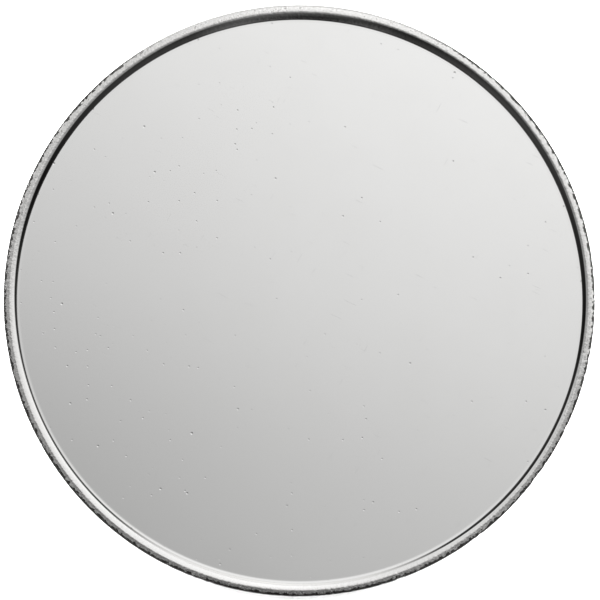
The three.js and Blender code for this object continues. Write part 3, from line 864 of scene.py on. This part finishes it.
def softened(node, width, segments=2, opened=False):
    source = frame["nodes"][node]
    copy = bpy.data.objects.new(node + "_copy", source.data.copy())
    scene.collection.objects.link(copy)
    copy.data.transform((STAND_LEG if opened else STAND).inverted())
    to_edit(copy)
    bpy.ops.mesh.remove_doubles(threshold=CAD_MERGE_GAP)
    bpy.ops.mesh.customdata_custom_splitnormals_clear()
    bpy.ops.mesh.select_all(action="SELECT")
    bpy.ops.mesh.dissolve_limited(angle_limit=FLAT_ANGLE)
    bpy.ops.mesh.select_all(action="SELECT")
    bpy.ops.mesh.normals_make_consistent(inside=False)
    bpy.ops.object.mode_set(mode="OBJECT")
    break_edges(copy, width, segments)
    print(node, "softened to", len(copy.data.polygons), "faces")
    return copy


cover = softened("back_cover", 0.09, segments=3)
leg = softened("easel_leg", 0.09, segments=3, opened=True)
foot = softened("leg_foot", 0.12, segments=3, opened=True)
bracket = softened("hinge_bracket", 0.07)

# %% [markdown]
# The cover is die cast in zinc: a fine sandy skin, a little darker in patches, with the shallow
# pebbling that tumbling among stones leaves.

# %% Cover finish
cast = Finish("fine cast zinc", (0.5, 0.51, 0.52), 1.0, 0.42)
sand = cast.noise(7.0, detail=8.0, rough=0.7)
patches = cast.noise(0.25, detail=4.0)
stones = cast.node("TexVoronoi", {"Vector": cast.drawn, "Scale": 3.2})
tone = cast.mix(cast.ranged(patches, 0.3, 0.7), (0.56, 0.57, 0.58), (0.44, 0.45, 0.46))
tone = cast.mix(cast.ranged(sand, 0.62, 0.75, 0.0, 0.5), tone, (0.3, 0.3, 0.31))
skin = cast.maths("ADD", sand, cast.maths("MULTIPLY", stones, 0.25))
cast.to(
    Base_Color=tone,
    Roughness=cast.ranged(sand, 0.3, 0.7, 0.34, 0.55),
    Normal=cast.bump(skin, 0.05, 0.5),
)
cover = put(cover, "cast_cover", "back_cover", "case", cast)

# %% [markdown]
# The leg is stamped from strip and brushed along its length. A noise that is stretched along Y
# and squeezed across it draws the brush marks. The bracket is brushed the other way.


# %% Leg and bracket finish
def brushed(name, color, across, along, base=0.3):
    made = Finish(name, color, 1.0, base)
    drawn_out = made.mapped(scale=(across, along, across))
    marks = made.noise(1.0, detail=5.0, rough=0.6, vector=drawn_out)
    cloud = made.noise(0.4, detail=3.0)
    darker, dark = (tuple(c * part for c in color) for part in (0.84, 0.75))
    shade = made.mix(made.ranged(marks, 0.35, 0.65), color, darker)
    shade = made.mix(made.ranged(cloud, 0.5, 0.8, 0.0, 0.35), shade, dark)
    made.to(
        Base_Color=shade,
        Roughness=made.ranged(marks, 0.3, 0.7, base - 0.06, base + 0.12),
        Normal=made.bump(marks, 0.02, 0.5),
    )
    return made


strip = brushed("steel brushed along", (0.68, 0.68, 0.67), 12.0, 0.35)
plate = brushed("steel brushed across", (0.62, 0.62, 0.61), 0.4, 13.0, base=0.34)
leg = put(leg, "stamped_leg", "easel_leg", "leg", strip, opened=True)
bracket = put(bracket, "folded_bracket", "hinge_bracket", "case", plate)

# %% [markdown]
# The leg's foot and the four pads are moulded rubber: nearly black, matte, with a fine
# spark-eroded skin and a little pale dust on it.

# %% Rubber finish, foot and pads
rubber = Finish("black rubber", (0.03, 0.03, 0.032), 0.0, 0.62, Specular_IOR_Level=0.4)
pebble = rubber.noise(14.0, detail=5.0, rough=0.6)
dust = rubber.noise(1.4, detail=6.0, rough=0.65)
dust_and_paler_shade = rubber.ranged(dust, 0.45, 0.75, 0.0, 0.5)
tone = rubber.mix(dust_and_paler_shade, (0.024, 0.024, 0.026), (0.075, 0.073, 0.07))
rubber.to(
    Base_Color=tone,
    Roughness=rubber.ranged(dust, 0.3, 0.7, 0.55, 0.78),
    Normal=rubber.bump(pebble, 0.03, 0.6),
)
foot = put(foot, "rubber_foot", "leg_foot", "leg", rubber, opened=True)

PAD_PLACES = ((14.9, 6.8), (-14.9, 6.8), (-14.9, -6.8), (14.9, -6.8))
pad_profile = [
    (0, 0.07),
    (0.5, 0.06),
    (0.95, 0.03),
    (1.2, 0.0),
    (1.42, 0.0),
    *arc(1.45, 0.25, 0.25, -80, 0, 5),
    (1.7, 0.5),
    (1.66, 0.7),
    (1.58, 0.78),
    (0, 0.78),
]
pad = turned("pad", pad_profile, 48)
pads = [pad, twin(pad), twin(pad), twin(pad)]
for number, (piece, place) in enumerate(zip(pads, PAD_PLACES), start=1):
    put(piece, f"pad_{number}", f"rubber_pad_{number}", "case", rubber, at=place)

# %% [markdown]
# ## Screws and nuts
# Each countersunk screw is turned, threaded with fine ridges, and slotted. A screw never stops
# with its slot in line with the next one, so each is turned by its own amount before it is put in.

# %% Finish of the screws and the pin
turned_steel = Finish("turned steel", (0.6, 0.6, 0.6), 1.0, 0.28)
outward = turned_steel.maths("MULTIPLY", turned_steel.radius(), 22.0)
along_radius = turned_steel.node("CombineXYZ", {"X": outward, "Y": turned_steel.noise(0.8)})
own_rings = turned_steel.noise(1.0, detail=2.0, vector=along_radius)
in_rings = turned_steel.ranged(own_rings, 0.35, 0.65)
tone = turned_steel.mix(in_rings, (0.64, 0.64, 0.63), (0.5, 0.5, 0.5))
blot = turned_steel.ranged(turned_steel.noise(2.2, detail=4.0), 0.6, 0.75, 0.0, 0.6)
tone = turned_steel.mix(blot, tone, (0.25, 0.23, 0.21))
turned_steel.to(
    Base_Color=tone,
    Roughness=turned_steel.ranged(own_rings, 0.3, 0.7, 0.2, 0.38),
    Normal=turned_steel.bump(own_rings, 0.02, 0.6),
)
print("turned steel takes", len(turned_steel.tree.nodes), "nodes")

# %% Turn and slot the screws
PITCH = 0.28
threads = []
for turn_number in range(9):
    level = 1.2 + turn_number * PITCH
    threads += [(0.5, level), (0.44, level + PITCH / 2)]
screw_profile = [
    (0, 0.405),
    (0.4, 0.41),
    (0.75, 0.435),
    (0.93, 0.47),
    (0.985, 0.5),
    (1.0, 0.53),
    (0.97, 0.57),
    (0.5, 0.95),
    (0.48, 1.1),
    *threads,
    (0.44, 3.8),
    (0.38, 3.94),
    (0, 3.96),
]
screw = turned("screw", screw_profile, 48)
fresh_start()
bpy.ops.mesh.primitive_cube_add(size=1, location=(0, 0, 0.42))
slot_cutter = bpy.context.object
slot_cutter.scale = (3, 0.26, 0.46)
bpy.ops.object.transform_apply(location=True, rotation=False, scale=True)
cut_away(screw, slot_cutter)
break_edges(screw, 0.02, segments=2, angle=50)

SLOT_DEGREES = (37, 112, 158, 71)
screws = [screw, twin(screw), twin(screw), twin(screw)]
for number, (piece, place, degrees) in enumerate(zip(screws, screw_places, SLOT_DEGREES), start=1):
    piece.data.transform(Matrix.Rotation(math.radians(degrees), 4, "Z"))
    node = f"cover_screw_{number}"
    put(piece, f"screw_{number}", node, "case", turned_steel, at=place)

# %% [markdown]
# The clinch nuts are hexagons of brass with chamfered corners. A six-sided cylinder is bored, and
# a bevel takes off its edges.

# %% Make the nuts
brass = Finish("dulled brass", (0.72, 0.58, 0.33), 1.0, 0.3)
tarnish = brass.noise(1.1, detail=5.0, rough=0.6)
fine_grain = brass.noise(11.0, detail=4.0)
tone = brass.mix(brass.ranged(tarnish, 0.35, 0.7), (0.76, 0.62, 0.36), (0.52, 0.38, 0.19))
tone = brass.mix(brass.ranged(fine_grain, 0.62, 0.72, 0.0, 0.5), tone, (0.28, 0.2, 0.1))
brass.to(
    Base_Color=tone,
    Roughness=brass.ranged(tarnish, 0.3, 0.7, 0.22, 0.42),
    Normal=brass.bump(fine_grain, 0.015, 0.5),
)
nut = peg(0, 0, 1.15, 3.42, 3.96, sides=6)
nut.data.transform(Matrix.Rotation(math.radians(30), 4, "Z"))
cut_away(nut, peg(0, 0, 0.55, 3.0, 4.4, 32))
break_edges(nut, 0.06, segments=3, angle=40)
nuts = [nut, twin(nut), twin(nut), twin(nut)]
for number, (piece, place) in enumerate(zip(nuts, screw_places), start=1):
    put(piece, f"nut_{number}", f"cover_nut_{number}", "case", brass, at=place)

# %% [markdown]
# ## The hinge
# Two brass rivets hold the bracket, each with a domed head and a tail that is spread into the
# cover. The pin is steel with both ends peened over, and a nylon washer sits each side of the leg.

# %% Rivets and pin
dome = [
    (0.75 * math.sin(math.radians(a)), 1.84 - 0.42 * math.cos(math.radians(a)))
    for a in range(18, 85, 11)
]
rivet_profile = [
    (0, 1.42),
    (0.12, 1.422),
    *dome,
    (0.75, 1.8),
    (0.74, 1.84),
    (0.4, 1.84),
    (0.4, 2.54),
    (0.6, 2.74),
    (0.58, 2.76),
    (0, 2.76),
]
rivet = turned("rivet", rivet_profile, 48)
other_rivet = twin(rivet)
put(rivet, "rivet_left", "hinge_rivet_left", "case", brass, at=(-1.9, 15.2))
put(other_rivet, "rivet_right", "hinge_rivet_right", "case", brass, at=(1.9, 15.2))

hinge = (0, HINGE_Y, HINGE_Z)
pin_end = [
    (0.35, 3.8),
    (0.5, 3.82),
    (0.58, 3.87),
    (0.56, 3.96),
    (0.46, 4.03),
    (0.28, 4.07),
    (0, 4.08),
]
pin_profile = [(r, -h) for r, h in reversed(pin_end)] + [(0.35, -1.5), (0.35, 1.5)] + pin_end
pin = turned("pin", pin_profile, 40, along="X", centre=hinge)
put(pin, "peened_pin", "hinge_pin", "case", turned_steel)

# %% Nylon washers
nylon = Finish("waxy nylon", (0.82, 0.8, 0.74), 0.0, 0.42, Subsurface_Weight=0.15)
cloudy = nylon.noise(1.8, detail=4.0)
tone = nylon.mix(nylon.ranged(cloudy, 0.3, 0.7), (0.84, 0.82, 0.76), (0.72, 0.69, 0.62))
nylon.set(nylon.shader, "Subsurface Radius", (0.0004, 0.0004, 0.0003))
nylon.to(
    Base_Color=tone,
    Roughness=nylon.ranged(cloudy, 0.3, 0.7, 0.36, 0.52),
    Normal=nylon.bump(nylon.noise(9.0, detail=4.0), 0.01, 0.5),
)
for side, low in (("right", 2.98), ("left", -3.18)):
    high = low + 0.2
    ring = [
        (0.38, low + 0.03),
        (0.41, low),
        (0.71, low),
        (0.75, low + 0.03),
        (0.76, low + 0.1),
        (0.75, high - 0.03),
        (0.71, high),
        (0.41, high),
        (0.38, high - 0.03),
    ]
    washer = turned("washer", ring, 40, ring=True, along="X", centre=hinge)
    put(washer, f"washer_{side}", f"friction_washer_{side}", "case", nylon)

# %% [markdown]
# ## Light
# The bead and the round are mirrors, so what surrounds them is most of their look. The
# surroundings are bright above and dark below and in front, with a smooth change across the
# direction that the face looks in. Behind the frame they stay pale. The camera itself sees only
# white. Broad soft lamps that mirrors don't show bring the floor up to white.

# %% Surroundings
world = bpy.data.worlds.new("studio")
scene.world = world
world.use_nodes = True
nodes, links = world.node_tree.nodes, world.node_tree.links
background = nodes["Background"]
direction = nodes.new("ShaderNodeTexCoord").outputs["Generated"]
print("the surroundings are the world", world.name)


def world_node(kind, inputs, output=0, **settings):
    made = nodes.new("ShaderNode" + kind)
    for key, value in settings.items():
        setattr(made, key, value)
    for socket, value in inputs.items():
        if isinstance(value, bpy.types.NodeSocket):
            links.new(value, made.inputs[socket])
        else:
            made.inputs[socket].default_value = value
    return made.outputs[output]


# %% [markdown]
# The brightest side lies a little to the right of straight up along the face. How far a direction
# leans towards it is the dot product of the two, from -1 to 1.

# %% Towards the light
BRIGHT_SIDE = math.radians(78)  # from the frame's right towards its top
toward_light = face_right * math.cos(BRIGHT_SIDE) + face_up * math.sin(BRIGHT_SIDE)
tilt = world_node(
    "VectorMath", {0: direction, 1: toward_light}, output="Value", operation="DOT_PRODUCT"
)
print("surroundings are brightest towards", [round(c, 2) for c in toward_light])

# %% [markdown]
# Three lists of shades describe the surroundings. The first runs from below to above, the second
# changes them from left to right, and the third, also from left to right, is a low glow that the
# dark part never falls below. Each place is how far the direction leans that way, from -1 to 1.

# %% Shades of the surroundings
TOP_SHADES = (
    (-0.95, 0.035),
    (-0.75, 0.055),
    (-0.5, 0.14),
    (-0.3, 0.22),
    (-0.15, 0.36),
    (-0.084, 0.54),
    (-0.05, 0.6),
    (0.0, 0.76),
    (0.084, 0.965),
    (0.4, 1.08),
    (0.95, 1.22),
)
SIDE_SHADES = (
    (-1, -0.15),
    (-0.8, -0.33),
    (-0.6, -0.35),
    (-0.25, -0.26),
    (-0.14, -0.15),
    (-0.075, -0.1),
    (0, 0),
    (0.075, 0.045),
    (0.25, -0.1),
    (0.5, -0.12),
    (1, -0.06),
)
LOW_GLOW = (
    (-1, 0.28),
    (-0.8, 0.33),
    (-0.7, 0.4),
    (-0.6, 0.37),
    (-0.4, 0.27),
    (-0.28, 0.2),
    (-0.1, 0.02),
    (0, 0.01),
    (0.1, 0.04),
    (0.25, 0.28),
    (0.6, 0.42),
    (1, 0.3),
)
print("shades given at", len(TOP_SHADES) + len(SIDE_SHADES) + len(LOW_GLOW), "places")

# %% [markdown]
# A colour ramp holds shades from 0 to 1 only. So each list is squeezed into that range, and what
# the ramp gives is stretched back again.


# %% A curve through the shades
def shade_curve(value, shades):
    """The shade at a value from -1 to 1, on straight lines between the given points."""
    low = min(shade for _, shade in shades)
    span = max(shade for _, shade in shades) - low
    ramp = nodes.new("ShaderNodeValToRGB")
    along = world_node("MapRange", {"Value": value, "From Min": -1.0, "From Max": 1.0})
    links.new(along, ramp.inputs[0])
    while len(ramp.color_ramp.elements) < len(shades):
        ramp.color_ramp.elements.new(0.5)
    for element, (place, shade) in zip(ramp.color_ramp.elements, shades):
        element.position = (place + 1) / 2
        element.color = ((shade - low) / span,) * 3 + (1,)
    scaled = world_node("Math", {0: ramp.outputs["Color"], 1: span}, operation="MULTIPLY")
    return world_node("Math", {0: scaled, 1: low}, operation="ADD")


# %% [markdown]
# The first two shades are added, and the glow is a floor under their sum. Behind the frame, all of
# it gives way to one pale shade.

# %% Mix the surroundings
across = world_node("SeparateXYZ", {"Vector": direction}, output=0)
top_shade = shade_curve(tilt, TOP_SHADES)
side_shade = shade_curve(across, SIDE_SHADES)
low_glow = shade_curve(across, LOW_GLOW)
front_shade = world_node("Math", {0: top_shade, 1: side_shade}, operation="ADD")
front_shade = world_node("Math", {0: front_shade, 1: low_glow}, operation="MAXIMUM")
backwards = world_node("SeparateXYZ", {"Vector": direction}, output=1)
behind = world_node(
    "MapRange",
    {"Value": backwards, "From Min": 0.1, "From Max": 0.6},
    interpolation_type="SMOOTHSTEP",
)
BEHIND_SHADE = 0.85
shade = world_node("Mix", {0: behind, 2: front_shade, 3: BEHIND_SHADE}, data_type="FLOAT")
seen = world_node("LightPath", {}, output="Is Camera Ray")
strength = world_node("Mix", {0: seen, 2: shade, 3: 1.0}, data_type="FLOAT")
links.new(strength, background.inputs["Strength"])
background.inputs["Color"].default_value = (1, 1, 1, 1)
print("the surroundings take", len(nodes), "nodes")

# %% [markdown]
# The floor is matt white paper. Four round lamps light it softly from above, in front and each
# side. Neither the floor nor the lamps show in the mirrors, and the camera doesn't see the lamps.

# %% Floor finish and soft lamps
paper = bpy.data.materials.new("pale floor")
paper.use_nodes = True
paper_shader = paper.node_tree.nodes["Principled BSDF"]
paper_shader.inputs["Base Color"].default_value = (0.9, 0.9, 0.9, 1)
paper_shader.inputs["Roughness"].default_value = 0.9
paper_shader.inputs["Specular IOR Level"].default_value = 0.0
floor.data.materials.append(paper)
floor.visible_glossy = False

LAMPS = (
    ("lamp_top", (0.05, -0.05, 0.9), 0.9, 12.0),
    ("lamp_front", (0.0, -0.8, 0.4), 0.7, 34.0),
    ("lamp_left", (-0.8, 0.1, 0.5), 0.7, 7.0),
    ("lamp_right", (0.8, 0.1, 0.5), 0.7, 7.0),
)
for name, place, size, power in LAMPS:
    fresh_start()
    bpy.ops.object.light_add(type="AREA", location=place)
    lamp = bpy.context.object
    lamp.name = name
    lamp.data.shape = "DISK"
    lamp.data.size = size
    lamp.data.energy = power
    lamp.rotation_euler = (-Vector(place)).to_track_quat("-Z", "Y").to_euler()
    lamp.visible_glossy = False
    lamp.visible_camera = False

print("lamps:", [name for name, *_ in LAMPS])

# %% [markdown]
# The standard view shows every shade as it is, with no film look laid over it.

# %% Plain view
scene.view_settings.view_transform = "Standard"
scene.view_settings.look = "None"
scene.view_settings.exposure = 0.0
scene.view_settings.gamma = 1.0
print("view:", scene.view_settings.view_transform)
